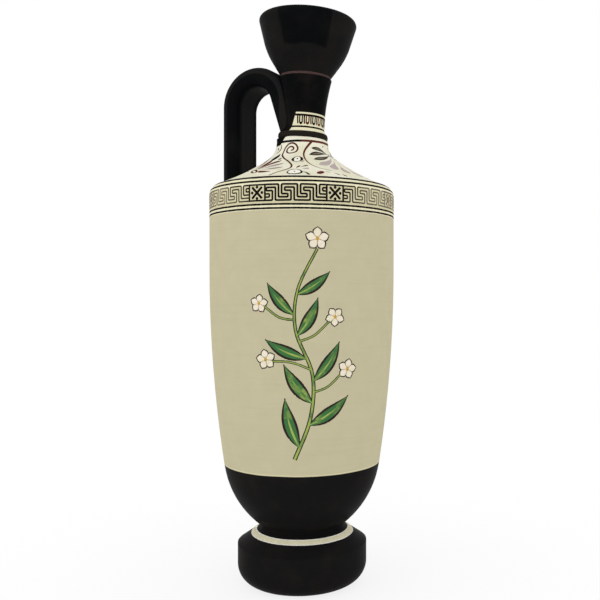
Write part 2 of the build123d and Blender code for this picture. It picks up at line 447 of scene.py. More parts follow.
def handle_finish(paints):
    """The handle: greyer round its outer edge and inside its arch, and deeper on the strap's sides, as
    painted reflections of the glaze's sheen.
    """
    # From the arch's middle to its outer face and to the greyer edge, and half of the greyer inner face: the
    # greyer parts are painted sheen.
    arch_reach = 20.7 * MM
    edge_reach = 16.9 * MM
    inner_half = 6 * MM
    finish = new_finish("handle_glaze_and_painted_sheen")
    low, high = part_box("handle")
    parts = finish.split(finish.place())
    ahead = parts["X"] - (low.x + arch_reach)
    over = parts["Z"] - (high.z - arch_reach)
    above = (over + abs(over)) / 2
    reach = (ahead * ahead + above * above) ** 0.5
    within = 1 - finish.rise(reach, start=edge_reach, soft=0.5 * MM)
    beside = finish.rise(abs(parts["Y"]), start=inner_half, soft=0.8 * MM)
    coat = glaze_coat(finish, paints.strap_glaze_and_painted_sheen, paints.thin_glaze)
    # Painted reflections: deeper black on the strap's sides, against the greyer painted sheen of its edge
    # and inner face.
    coat = finish.lay(coat, glaze_coat(finish, paints.deep_glaze, paints.glaze), within * beside)
    return finish.fire(coat, GLAZE_GLOSS)


def neck_finish(paints):
    """The neck: black over a brown ring, with a cream zone up to the handle's glaze."""
    edge = 0.2 * MM
    finish = new_finish("neck_glaze")
    climb, ahead = up_the_neck(finish)[:2]
    over_ring = finish.rise(climb, Neck.ring_top * MM, edge)
    zone = over_ring - finish.rise(climb, Neck.zone_top * MM, edge)
    clear = finish.rise(ahead - climb * Neck.root_slope, Neck.root_start * MM, edge)
    ring = Coat(colour=paints.thin_glaze, roughness=0.5, relief=0)
    coat = finish.lay(glaze_coat(finish, paints.deep_glaze, paints.thin_glaze), ring, 1 - over_ring)
    coat = finish.lay(coat, ground_coat(finish, paints.cream), zone * clear)
    return finish.fire(coat, GLAZE_GLOSS)


def shoulder_finish(paints):
    """The shoulder: ivory with whiter patches, a cream edge, and black glaze at the collar by the handle."""
    edge_height = (body_rim + 4.6) * MM
    whitest = 0.55
    glaze_height = (body_rim + 27) * MM
    glaze_front = -6.4 * MM
    glaze_slant = 0.95
    finish = new_finish("shoulder_ground")
    parts = finish.split(finish.place())
    height = parts["Z"]
    high = finish.rise(height, edge_height, soft=1.2 * MM)
    coat = finish.lay(ground_coat(finish, paints.cream), ground_coat(finish, paints.ivory), high)
    whiter = finish.rise(finish.cloud(13 * MM, detail=2), start=0.5, soft=0.22) * high
    coat = finish.lay(coat, ground_coat(finish, paints.white), whiter * whitest)
    front = parts["X"] - (height - glaze_height) * glaze_slant
    behind = 1 - finish.rise(front, glaze_front, soft=0.2 * MM)
    above = finish.rise(height, glaze_height, soft=0.4 * MM)
    coat = finish.lay(coat, glaze_coat(finish, paints.deep_glaze, paints.thin_glaze), above * behind)
    return finish.fire(coat, GLAZE_GLOSS)


def brushed_on(finish, fresh, worn, rubbed, patches, grain):
    """Ends a paint's material, between fresh and worn by how far it is rubbed."""
    coat = Coat(colour=finish.mix(rubbed, fresh, worn), roughness=0.5 + 0.2 * patches, relief=grain * 0.4)
    return finish.fire(coat, GROUND_GLOSS, depth=0.05 * MM)


def paint_finish(name, fresh, worn, wear):
    """Painted line or leaf: fresh where it lies thick, worn in patches."""
    finish = new_finish(name)
    patches = finish.cloud(7 * MM, detail=4)
    grain = finish.cloud(0.6 * MM, detail=2)
    rubbed = finish.rise(patches + sway(grain, 0.25), start=1 - wear, soft=0.35)
    return brushed_on(finish, fresh, worn, rubbed, patches, grain)


def key_finish(paints):
    """The meander's paint: freshest on the front and rubbed pale away from it."""
    pace = 1.4
    finish = new_finish("meander_paint")
    facing = finish.vector("DOT_PRODUCT", finish.place(), heading(FRESH_TURN))["Value"]
    away = 1 - facing / (body_radius * MM)
    patches = finish.cloud(8 * MM, detail=4)
    grain = finish.cloud(0.6 * MM, detail=2)
    rubbed = finish.rise(away * pace + sway(patches, 0.7) + sway(grain, 0.2), start=0.36, soft=0.4)
    return brushed_on(finish, paints.line, paints.worn_key, rubbed, patches, grain)


# Painting on the vessel's walls.


class Wall:
    """An outer side of the vessel, and where a point drawn on it lies in space.

    A drawn point is a turn in degrees and a distance in millimetres. Each kind of wall has the spot
    through which such a point is aimed, and the core that it is aimed at.
    """

    reach = 20 * MM
    seam_depth = 0.4 * MM

    def __init__(self, *nodes):
        shell = bmesh.new()
        for node in nodes:
            shell.from_mesh(frame["nodes"][node].data)
        self.tree = BVHTree.FromBMesh(shell)
        shell.free()

    def cast(self, spot):
        """The wall's place and normal on the line from outside, through a spot, to the core."""
        outward = (spot - self.core(spot)).normalized()
        place, normal = self.tree.ray_cast(spot + outward * self.reach, -outward)[:2]
        return place, normal, outward

    def at(self, turn, along):
        """The place in space of a drawn point."""
        return self.cast(self.spot(turn, along))[0]

    def touch(self, spot):
        """The wall's place and normal at a spot, carried straight over an open seam."""
        place, normal, outward = self.cast(spot)
        if place is None or (place - spot).length > self.seam_depth:
            return spot, outward
        return place, normal


class Side(Wall):
    """The body's side, up to the shoulder's edge: distances are heights."""

    def __init__(self):
        super().__init__("body", "shoulder_luting", "shoulder")

    def core(self, spot):
        return Vector((0, 0, spot.z))

    def spot(self, turn, along):
        return heading(turn) * body_radius * MM + Vector((0, 0, along * MM))


class Slope(Wall):
    """The foot's sloping top: distances are radii."""

    aim_height = 25 * MM

    def __init__(self):
        super().__init__("foot")

    def core(self, spot):
        return Vector((spot.x, spot.y, 0))

    def spot(self, turn, along):
        return heading(turn) * along * MM + Vector((0, 0, self.aim_height))


class Neck(Wall):
    """The leaning neck, or what stands on it: distances are heights over the neck's seat."""

    aim_radius = 12

    # The brown ring, the cream zone above it, and the sloping edge of the glaze round the handle's root.
    ring_top = 3.2
    zone_top = 13.2
    root_start = -1.95
    root_slope = 0.28

    def __init__(self, *nodes):
        super().__init__(*nodes)
        self.lean = Vector((0, 0, 1)).rotation_difference(neck_axis)

    def core(self, spot):
        return neck_seat + neck_axis * (spot - neck_seat).dot(neck_axis)

    def spot(self, turn, along):
        return neck_seat + neck_axis * along * MM + self.lean @ heading(turn) * self.aim_radius * MM

    def bare_turns(self, along):
        """The turns between which the glaze round the handle's root leaves the neck bare."""
        radius = (self.at(90, along) - self.core(self.at(90, along))).length / MM
        start = math.degrees(math.asin((self.root_start + self.root_slope * along) / radius))
        return start, 180 - start


class Shoulder(Wall):
    """The shoulder from its seat on the body to the collar: distances run up its slope."""

    # Points are aimed at a pivot under the body's rim, at angles from the seat up to the collar.
    aim_radius = 40
    pivot_drop = 9
    seat_rise = 0.6
    collar_angle = math.radians(70)
    steps = 240

    def __init__(self):
        super().__init__("shoulder")
        self.pivot = Vector((0, 0, (body_rim - self.pivot_drop) * MM))
        start = math.atan2(self.pivot_drop + self.seat_rise, body_radius)
        sweep = self.collar_angle - start
        self.angles = [start + sweep * step / self.steps for step in range(self.steps + 1)]
        places = [self.cast(self.aim(90, angle))[0] for angle in self.angles]
        self.climbs = [0]
        for before, after in zip(places, places[1:]):
            self.climbs.append(self.climbs[-1] + (after - before).length / MM)

    def core(self, spot):
        return self.pivot

    def aim(self, turn, angle):
        """A point at a turn and an angle up from the pivot's level."""
        level = heading(turn) * math.cos(angle)
        return self.pivot + (level + Vector((0, 0, math.sin(angle)))) * self.aim_radius * MM

    def spot(self, turn, along):
        after = min(max(bisect(self.climbs, along), 1), self.steps)
        low, high = self.climbs[after - 1], self.climbs[after]
        share = (along - low) / (high - low)
        angle = self.angles[after - 1] + share * (self.angles[after] - self.angles[after - 1])
        return self.aim(turn, angle)


def flat(turn, along, radius):
    """A flat sheet laid on a round wall: millimetres across and up it become a drawn point."""
    scale = math.degrees(1 / radius)
    return lambda across, up: Vector((turn + across * scale, along + up))


def curve(knots, steps=7):
    """A smooth line through a few knots."""
    knots = [Vector(knot) for knot in knots]
    ends = [knots[0], *knots, knots[-1]]
    line = [knots[0]]
    for before, start, end, after in zip(ends, ends[1:], ends[2:], ends[3:]):
        leaving, arriving = start + (end - before) / 6, end - (after - start) / 6
        line += interpolate_bezier(start, leaving, arriving, end, steps)[1:]
    return line


def bend(corners, radius, pull=0.6, steps=5):
    """A line through corners, each rounded a little."""
    corners = [Vector(corner) for corner in corners]
    line = [corners[0]]
    for before, corner, after in zip(corners, corners[1:], corners[2:]):
        start = corner + (before - corner).normalized() * radius
        end = corner + (after - corner).normalized() * radius
        line += interpolate_bezier(start, start.lerp(corner, pull), end.lerp(corner, pull), end, steps)
    return [*line, corners[-1]]


def divide(line, longest):
    """A line with no step longer than a length."""
    parts = [line[0]]
    for start, end in zip(line, line[1:]):
        count = max(1, math.ceil((end - start).length / longest))
        parts += [start.lerp(end, step / count) for step in range(1, count + 1)]
    return parts


def even(width):
    """A stroke of one width."""
    return lambda share: width


def taper(width, tip):
    """A stroke that narrows or swells evenly to a tip."""
    return lambda share: width + (tip - width) * share


def petal(width, peak, tip=0.08):
    """A stroke as a leaf: pointed at both ends and broadest at a share of its length."""
    power = math.log(0.5) / math.log(peak)
    return lambda share: width * max(tip, math.sin(math.pi * share**power))


def disc(size, tip=0.2):
    """A stroke as a round spot."""
    return lambda share: size * max(tip, math.sqrt(max(0, 1 - (2 * share - 1) ** 2)))


class Painter:
    """One brush: gathers strokes of one paint on one wall into one piece."""

    sides = 8
    sink = 0.2 * MM
    tremor = 0.07
    tremor_pace = (0.21, 0.33)
    tremor_seed = 7.3
    arc_step = 2.5

    def __init__(self, wall, finish, lift=0.1):
        self.wall = wall
        self.finish = finish
        self.lift = lift * MM
        self.mesh = bmesh.new()

    def unsteady(self, turn, along):
        """A drawn point, moved a little as a hand moves it."""
        round_pace, up_pace = self.tremor_pace
        place = Vector((turn * round_pace, along * up_pace, self.tremor_seed))
        return turn, along + noise.noise(place) * self.tremor

    def stroke(self, line, width, closed=False):
        """Lays an oval bead of paint along a line of drawn points."""
        path = [self.wall.at(*self.unsteady(*point)) for point in line]
        start, end = (path[-1], path[0]) if closed else (path[0], path[-1])
        bead = bmesh.new()
        bmesh.ops.create_circle(bead, cap_ends=True, segments=self.sides, radius=1)
        bead.faces.ensure_lookup_table()
        first = cap = bead.faces[0]
        for step, (before, place, after) in enumerate(zip([start, *path], path, [*path[1:], end])):
            if step:
                grown = bmesh.ops.extrude_face_region(bead, geom=[cap])["geom"]
                cap = next(part for part in grown if isinstance(part, bmesh.types.BMFace))
            self.set_across(cap, place, after - before, width(step / (len(path) - 1)))
        if closed:
            rims = [*first.edges, *cap.edges]
            bmesh.ops.delete(bead, geom=[first, cap], context="FACES_ONLY")
            bmesh.ops.bridge_loops(bead, edges=rims)
        bmesh.ops.recalc_face_normals(bead, faces=bead.faces)
        scrap = bpy.data.meshes.new("bead")
        bead.to_mesh(scrap)
        bead.free()
        self.mesh.from_mesh(scrap)
        bpy.data.meshes.remove(scrap)

    def set_across(self, cap, place, ahead, width):
        """Sets a bead's section across its line, proud of the wall above and sunk in it below."""
        side = ahead.cross(self.wall.touch(place)[1]).normalized()
        half = width * MM / 2
        for index, vert in enumerate(cap.verts):
            angle = math.tau * index / self.sides
            spot, normal = self.wall.touch(place + side * half * math.cos(angle))
            height = math.sin(angle)
            vert.co = spot + normal * height * (self.lift if height > 0 else self.sink)

    def ring(self, along, width, steps=144):
        """A line right round the wall."""
        self.stroke([(360 * step / steps, along) for step in range(steps)], even(width), closed=True)

    def arc(self, start, end, along, width):
        """A line part of the way round."""
        steps = max(2, round(abs(end - start) / self.arc_step))
        line = [(start + (end - start) * step / steps, along) for step in range(steps + 1)]
        self.stroke(line, even(width))

    def spot(self, turn, along, across, up, steps=8):
        """An oval spot of paint."""
        line = [(turn, along + up * (step / steps - 0.5)) for step in range(steps + 1)]
        self.stroke(line, disc(across))

    def dry(self, name, slot="white_ground"):
        """Makes the strokes one piece that rides with the vessel."""
        data = bpy.data.meshes.new(name)
        self.mesh.to_mesh(data)
        self.mesh.free()
        data.shade_smooth()
        data.materials.append(self.finish)
        piece = bpy.data.objects.new(name, data)
        bpy.context.scene.collection.objects.link(piece)
        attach(piece, "root")


class LEKYTHOS_OT_glaze(bpy.types.Operator):
    """Gives every turned piece and every luting its glaze, ground or slip"""

    bl_idname = "lekythos.glaze"
    bl_label = "Glaze the pieces"

    def execute(self, context):
        paints, bands = context.scene.lekythos_paints, context.scene.lekythos_bands
        glaze = glaze_finish("black_glaze", paints.glaze, paints.thin_glaze)
        deep_glaze = glaze_finish("deep_black_glaze", paints.deep_glaze, paints.thin_glaze)
        shoulder = shoulder_finish(paints)
        finishes = {
            "foot": glaze,
            "body": body_finish(paints, bands),
            "shoulder": shoulder,
            "neck": neck_finish(paints),
            "mouth": mouth_finish(paints),
            "handle": handle_finish(paints),
            "foot_luting": glaze,
            "shoulder_luting": ground_finish("cream_slip", paints.cream),
            "neck_luting": shoulder,
            "mouth_luting": ground_finish("seam_slip", paints.seam),
            "handle_neck_luting": deep_glaze,
            "handle_shoulder_luting": deep_glaze,
        }
        for node, finish in finishes.items():
            for slot in frame["nodes"][node].material_slots:
                slot.material = finish
        return {"FINISHED"}


class LEKYTHOS_OT_bands(bpy.types.Operator):
    """Draws the lines round the body and shoulder and the pale stripe on the foot"""

    bl_idname = "lekythos.bands"
    bl_label = "Draw the bands"

    # Heights, climbs up a wall and widths are in millimetres, and turns in degrees.
    under_meander = (197.7, 199.6)
    over_meander = ((1.6, 1.15), (4.5, 2.1))
    collar_climb = 47.6
    collar_width = 1.3
    collar_red = (28, 152)
    stripe_rim = 0.6
    seam_climb = 34.15
    seam_width = 0.65

    def execute(self, context):
        paints, bands = context.scene.lekythos_paints, context.scene.lekythos_bands
        line_paint = paint_finish("line_paint", paints.line, paints.worn_line, wear=0.1)
        lines = Painter(Side(), line_paint)
        for height in self.under_meander:
            lines.ring(height, bands.line_width / MM)
        lines.dry("body_lines")
        shoulder = Shoulder()
        edges = Painter(shoulder, line_paint)
        for climb, width in self.over_meander:
            edges.ring(climb, width)
        start, end = self.collar_red
        edges.arc(end - 360, start, self.collar_climb, self.collar_width)
        edges.dry("shoulder_lines")
        collar = Painter(shoulder, paint_finish("red_paint", paints.red, paints.tendril, wear=0.4))
        collar.arc(start, end, self.collar_climb, self.collar_width)
        collar.dry("collar_line")
        self.foot_stripe(paints, bands)
        self.seam_line(paints)
        return {"FINISHED"}

    def foot_stripe(self, paints, bands):
        """The stripe on the foot's slope: cream between two whiter rims."""
        slope = Slope()
        radius, width = bands.stripe_radius / MM, bands.stripe_width / MM
        stripe = Painter(slope, ground_finish("stripe_ground", paints.cream), lift=0.08)
        rims = Painter(slope, ground_finish("stripe_rim_ground", paints.white), lift=0.12)
        stripe.ring(radius, width)
        inner, outer = slope.at(0, radius - 1), slope.at(0, radius + 1)
        level = abs(outer.y - inner.y) / (outer - inner).length
        for side in (-1, 1):
            rims.ring(radius + side * level * (width - self.stripe_rim) / 2, self.stripe_rim)
        stripe.dry("foot_stripe")
        rims.dry("foot_stripe_rims")

    def seam_line(self, paints):
        """A thin line on the mouth's foot, along its slip."""
        seam_paint = paint_finish("seam_paint", paints.seam, paints.tendril, wear=0.3)
        seam = Painter(Neck("mouth", "mouth_luting"), seam_paint)
        seam.ring(self.seam_climb, self.seam_width)
        seam.dry("mouth_line", "black_glaze")


class LEKYTHOS_OT_meander(bpy.types.Operator):
    """Draws the running keys and the saltire squares between them"""

    bl_idname = "lekythos.meander"
    bl_label = "Draw the meander"

    # A key's corners, in columns and rows from its start, and how the keys run on between two squares.
    outer_key = ((0, 5), (0, 1), (3, 1), (3, 2), (1, 2), (1, 5))
    inner_key = ((-1, 4), (-1, 0), (4, 0), (4, 3), (2, 3), (2, 4))
    rows = 5
    key_columns = 6
    first_key = 4.2
    gap_columns = 19.2
    keys_drawn = range(-1, 4)

    # The share of a key's width that is left where wear is worst, and how sharply wear sets in.
    thinnest_key = 0.7
    wear_power = 4

    # The first square's turn in degrees, and the strokes in millimetres.
    first_square = 3.6
    corner_radius = 0.45
    longest_step = 1.6
    bar_width = 0.98
    bar_overhang = 0.4
    rule_width = 0.85
    saltire_width = 1.25
    saltire_reach = (2.7, 2.8)
    dot_size = 1.5

    def execute(self, context):
        paints, bands = context.scene.lekythos_paints, context.scene.lekythos_bands
        foot, row = bands.meander_foot / MM, bands.meander_row / MM
        half = bands.square_width / MM / 2
        pitch = 360 / bands.squares
        column = (math.radians(pitch) * body_radius - 2 * half) / self.gap_columns
        side, paint = Side(), key_finish(paints)
        keys, squares = Painter(side, paint), Painter(side, paint)
        runs = [*self.key_runs(self.outer_key), *self.key_runs(self.inner_key)]
        for count in range(bands.squares):
            sheet = flat(self.first_square + pitch * count, foot, body_radius)
            for run in runs:
                corners = [(half + across * column, up * row) for across, up in run]
                line = divide(bend(corners, self.corner_radius), self.longest_step)
                drawn = [sheet(*point) for point in line]
                kept = self.kept(drawn[len(drawn) // 2].x)
                keys.stroke(drawn, even(bands.key_width / MM * kept))
            self.square(squares, sheet, half - self.bar_width / 2, self.rows * row)
        keys.dry("meander_keys")
        squares.dry("saltire_squares")
        return {"FINISHED"}

    def key_runs(self, key):
        """The runs of one running line between two squares, in columns and rows."""
        line = []
        for count in self.keys_drawn:
            start = self.first_key + self.key_columns * count
            line += [(start + column, row) for column, row in key]
        runs = [[]]
        for start, end in zip(line, line[1:]):
            if max(start[0], end[0]) <= 0 or min(start[0], end[0]) >= self.gap_columns:
                runs.append([])
                continue
            inside = [(min(max(column, 0), self.gap_columns), row) for column, row in (start, end)]
            if not runs[-1]:
                runs[-1].append(inside[0])
            runs[-1].append(inside[1])
            if not 0 <= end[0] <= self.gap_columns:
                runs.append([])
        return [run for run in runs if run]

    def kept(self, turn):
        """The share of a key's width that wear has left at a turn."""
        facing = max(0, math.cos(math.radians(turn - FRESH_TURN)))
        return self.thinnest_key + (1 - self.thinnest_key) * facing**self.wear_power

    def square(self, squares, sheet, bar, top):
        """One square: two thick bars, thin lines above and below, a saltire and four dots."""

        def run(start, end, width):
            line = divide([Vector(start), Vector(end)], self.longest_step)
            squares.stroke([sheet(*point) for point in line], even(width))

        for across in (-bar, bar):
            run((across, -self.bar_overhang), (across, top + self.bar_overhang), self.bar_width)
        for up in (0, top):
            run((-bar, up), (bar, up), self.rule_width)
        reach, rise = self.saltire_reach
        middle = top / 2
        for slant in (rise, -rise):
            run((-reach, middle - slant), (reach, middle + slant), self.saltire_width)
        for across, up in ((0, rise), (0, -rise), (reach, 0), (-reach, 0)):
            squares.spot(*sheet(across, middle + up), self.dot_size, self.dot_size)


Leaf = namedtuple("Leaf", "brush width peak knots")
Eye = namedtuple("Eye", "turn climb across up heavy sides")


class LEKYTHOS_OT_palmettes(bpy.types.Operator):
    """Draws the palmettes, tendrils and eyes on the shoulder"""

    bl_idname = "lekythos.palmettes"
    bl_label = "Draw the palmettes"

    # The tendril, and the volute at its end: its middle, the wall's radius there, and its roll in degrees.
    tendril_knots = (
        (8.6, 7.2), (11.0, 12.4), (16.0, 16.8), (19.6, 20.6),
        (18.8, 25.0), (13.0, 29.8), (3.0, 34.4), (-6.0, 38.6),
    )
    tendril_width = 0.95
    volute = (7.5, 42.6)
    volute_wall = 15.0
    volute_start = 194
    volute_sweep = 644
    volute_reach = (4.15, 0.5)
    volute_power = 1.3
    volute_steps = 22

    # The arc round the large palmette.
    arc_knots = (
        (50.5, 47.6), (39.2, 44.1), (33.6, 41.2), (31.9, 37.7), (33.5, 32.5),
        (36.5, 27.9), (40.4, 24.0), (46.5, 20.2), (55.0, 17.6),
    )
    arc_widths = (1.25, 0.3)

    # The eyes, the thin and thick of their rings, and each pupil's rise, breadth and height.
    eyes_drawn = (
        Eye(23.3, 32.4, 5.8, 3.2, 15, 2),
        Eye(24.2, 13.2, 5.2, 4.3, -50, 1),
    )
    eye_line = (0.5, 1.55)
    eye_power = 4
    oval_steps = 24
    pupil = (0.4, 0.9, 1.6)

    # One side of the large palmette opposite the handle, from the collar down.
    fan_leaves = (
        Leaf("strong_leaves", 2.4, 0.62, ((83.0, 40.0), (66.6, 43.0), (48.3, 43.6))),
        Leaf("strong_leaves", 3.4, 0.62, ((80.0, 40.4), (58.8, 39.9), (41.0, 38.1))),
        Leaf("strong_leaves", 3.6, 0.62, ((82.5, 39.2), (60.0, 35.0), (45.0, 32.6))),
        Leaf("faded_leaves", 4.2, 0.66, ((81.0, 36.9), (60.0, 29.3), (47.6, 25.6))),
        Leaf("faded_leaves", 4.8, 0.74, ((79.0, 33.8), (66.0, 26.5), (59.6, 20.6))),
        Leaf("faded_leaves", 4.6, 0.74, ((79.0, 30.0), (72.4, 22.7), (71.0, 16.4))),
        Leaf("faded_leaves", 4.2, 0.74, ((84.6, 28.0), (82.8, 20.3), (83.2, 14.2))),
    )
    fan_heart = (86.0, 39.6)
    fan_heart_size = 2.4
    leaf_heart_ends = (0.3, 0.7)
    leaf_heart_width = 0.55

    # The palmette that lies beside the handle.
    side_leaves = (
        Leaf("worn_lines", 2.0, 0.5, ((-20.0, 22.6), (-25.0, 30.0), (-37.0, 39.0))),
        Leaf("arcs", 3.5, 0.6, ((-15.8, 20.8), (-15.2, 27.0), (-14.4, 34.4))),
        Leaf("dark_lines", 3.6, 0.5, ((-14.8, 31.4), (-14.2, 35.4), (-13.0, 39.6))),
        Leaf("arcs", 2.8, 0.66, ((-12.8, 20.8), (-8.6, 27.2), (3.4, 31.3))),
        Leaf("faded_leaves", 3.0, 0.6, ((-10.4, 21.2), (-2.4, 23.8), (8.6, 26.6))),
        Leaf("worn_lines", 1.2, 0.5, ((-5.6, 24.4), (0.0, 25.4), (9.0, 27.4))),
        Leaf("faded_leaves", 2.4, 0.6, ((-7.4, 19.6), (2.0, 20.2), (12.0, 22.0))),
        Leaf("worn_lines", 1.1, 0.5, ((-1.0, 19.6), (5.0, 20.0), (12.0, 21.4))),
        Leaf("arcs", 2.8, 0.4, ((-8.4, 17.4), (-1.6, 15.4), (5.0, 15.5))),
    )
    side_heart = (-14.4, 18.0)
    side_heart_axes = ((4.2, -0.8), (3.6, -2.8))
    side_heart_width = 1.1

    # Buds, dashes and commas between the tendril and the arc, and beside the handle.
    small_leaves = (
        Leaf("arcs", 1.4, 0.6, ((24.6, 20.0), (26.0, 21.8), (27.6, 23.6))),
        Leaf("tendrils", 1.6, 0.7, ((28.0, 21.2), (31.5, 22.9), (35.4, 23.9))),
        Leaf("faded_leaves", 2.2, 0.6, ((29.6, 19.2), (32.5, 19.0), (35.8, 20.4))),
        Leaf("worn_lines", 0.9, 0.5, ((28.0, 29.4), (30.0, 29.5), (32.2, 30.8))),
        Leaf("worn_lines", 1.2, 0.5, ((47.6, 15.6), (49.4, 14.8), (51.4, 14.4))),
        Leaf("worn_lines", 1.5, 0.6, ((54.0, 14.0), (55.6, 12.2), (56.4, 10.2))),
        Leaf("tendrils", 1.5, 0.6, ((59.0, 12.6), (60.4, 10.6), (60.6, 8.8))),
        Leaf("tendrils", 0.8, 0.5, ((-25.0, 46.6), (-19.6, 44.6), (-21.6, 42.0), (-29.0, 40.8))),
        Leaf("strong_leaves", 1.1, 0.5, ((-31.6, 44.6), (-29.6, 43.8), (-27.6, 43.0))),
        Leaf("strong_leaves", 1.7, 0.5, ((-3.4, 32.4), (-2.2, 33.4), (-1.2, 34.6))),
        Leaf("arcs", 1.5, 0.5, ((-31.0, 20.2), (-29.6, 20.8), (-28.2, 21.2))),
        Leaf("arcs", 0.9, 0.5, ((77.4, 45.0), (79.0, 45.3), (80.6, 45.2))),
    )
    comma = ((30.2, 12.8), (32.6, 12.0), (34.4, 7.6))
    comma_widths = (0.5, 1.5)
    bud = ((40.8, 10.0), (42.8, 12.8), (45.8, 15.4))
    bud_width = 3.2

    def execute(self, context):
        paints = context.scene.lekythos_paints
        # Each brush's paint, and how thick it lies in millimetres.
        brushes = {
            "tendrils": (paint_finish("tendril_paint", paints.tendril, paints.worn_line, wear=0.3), 0.1),
            "arcs": (paint_finish("arc_paint", paints.red, paints.tendril, wear=0.35), 0.1),
            "dark_lines": (paint_finish("dark_paint", paints.line, paints.worn_line, wear=0.2), 0.12),
            "eye_whites": (ground_finish("eye_ground", paints.white), 0.05),
            "strong_leaves": (paint_finish("leaf_paint", paints.leaf, paints.leaf_core, wear=0.25), 0.09),
            "leaf_hearts": (paint_finish("leaf_heart_paint", paints.leaf_core, paints.leaf, wear=0.4), 0.13),
            "faded_leaves": (paint_finish("faded_paint", paints.faded_leaf, paints.ivory, wear=0.3), 0.07),
            "worn_lines": (paint_finish("worn_paint", paints.worn_line, paints.faded_leaf, wear=0.4), 0.11),
        }
        self.shoulder = Shoulder()
        self.brushes = {name: Painter(self.shoulder, *brush) for name, brush in brushes.items()}
        for mirrored in (False, True):
            self.mirrored = mirrored
            self.tendril()
            for eye in self.eyes_drawn:
                self.eye(eye)
            for leaf in (*self.fan_leaves, *self.side_leaves, *self.small_leaves):
                self.leaf(leaf)
            self.oval("tendrils", self.side_heart, self.side_heart_axes, even(self.side_heart_width))
            self.sweep("arcs", self.arc_knots, taper(*self.arc_widths))
            self.sweep("dark_lines", self.comma, taper(*self.comma_widths))
            self.sweep("arcs", self.bud, disc(self.bud_width))
            self.spot("faded_leaves", *self.fan_heart, self.fan_heart_size, self.fan_heart_size)
        for name, brush in self.brushes.items():
            brush.dry("shoulder_" + name)
        return {"FINISHED"}

    def half(self, line):
        """A line on the half of the shoulder that is being drawn."""
        return [(180 - turn, climb) for turn, climb in line] if self.mirrored else line

    def sweep(self, brush, knots, width):
        """A smooth stroke through knots."""
        self.brushes[brush].stroke(self.half(curve(knots)), width)

    def spot(self, brush, turn, climb, across, up):
        """An oval spot."""
        self.brushes[brush].spot(*self.half([(turn, climb)])[0], across, up)

    def oval(self, brush, centre, axes, width):
        """An oval ring, from its middle to two points a quarter turn apart."""
        first, second = (Vector(axis) for axis in axes)
        ring = []
        for step in range(self.oval_steps):
            angle = math.tau * step / self.oval_steps
            ring.append(Vector(centre) + first * math.cos(angle) + second * math.sin(angle))
        self.brushes[brush].stroke(self.half(ring), width, closed=True)

    def leaf(self, leaf):
        """One leaf, with a paler heart where it is a strong one of the large palmette."""
        self.sweep(leaf.brush, leaf.knots, petal(leaf.width, leaf.peak))
        if leaf.brush == "strong_leaves" and leaf in self.fan_leaves:
            base, middle, tip = (Vector(knot) for knot in leaf.knots)
            start, end = self.leaf_heart_ends
            heart = [base.lerp(middle, start), middle, middle.lerp(tip, end)]
            self.sweep("leaf_hearts", heart, petal(leaf.width * self.leaf_heart_width, leaf.peak))

    def tendril(self):
        """The tendril that climbs from the edge and rolls up in a volute."""
        sheet = flat(*self.volute, self.volute_wall)
        outer, inner = self.volute_reach
        knots = list(self.tendril_knots)
        for step in range(self.volute_steps + 1):
            share = step / self.volute_steps
            angle = math.radians(self.volute_start - self.volute_sweep * share)
            radius = outer + (inner - outer) * share**self.volute_power
            knots.append(sheet(radius * math.cos(angle), radius * math.sin(angle)))
        self.sweep("tendrils", knots, even(self.tendril_width))

    def eye(self, eye):
        """A ringed eye on a white ground, its ring heavier on one side or two."""
        thin, thick = self.eye_line
        rise, breadth, height = self.pupil

        def weight(share):
            lean = (math.tau * share - math.radians(eye.heavy)) * eye.sides / 2
            return thin + (thick - thin) * math.cos(lean) ** self.eye_power

        left, right = (self.shoulder.at(eye.turn + side * eye.across, eye.climb) for side in (-1, 1))
        self.spot("eye_whites", eye.turn, eye.climb, (right - left).length / MM, eye.up * 2)
        self.oval("dark_lines", (eye.turn, eye.climb), ((eye.across, 0), (0, eye.up)), weight)
        self.spot("dark_lines", eye.turn, eye.climb + rise, breadth, height)


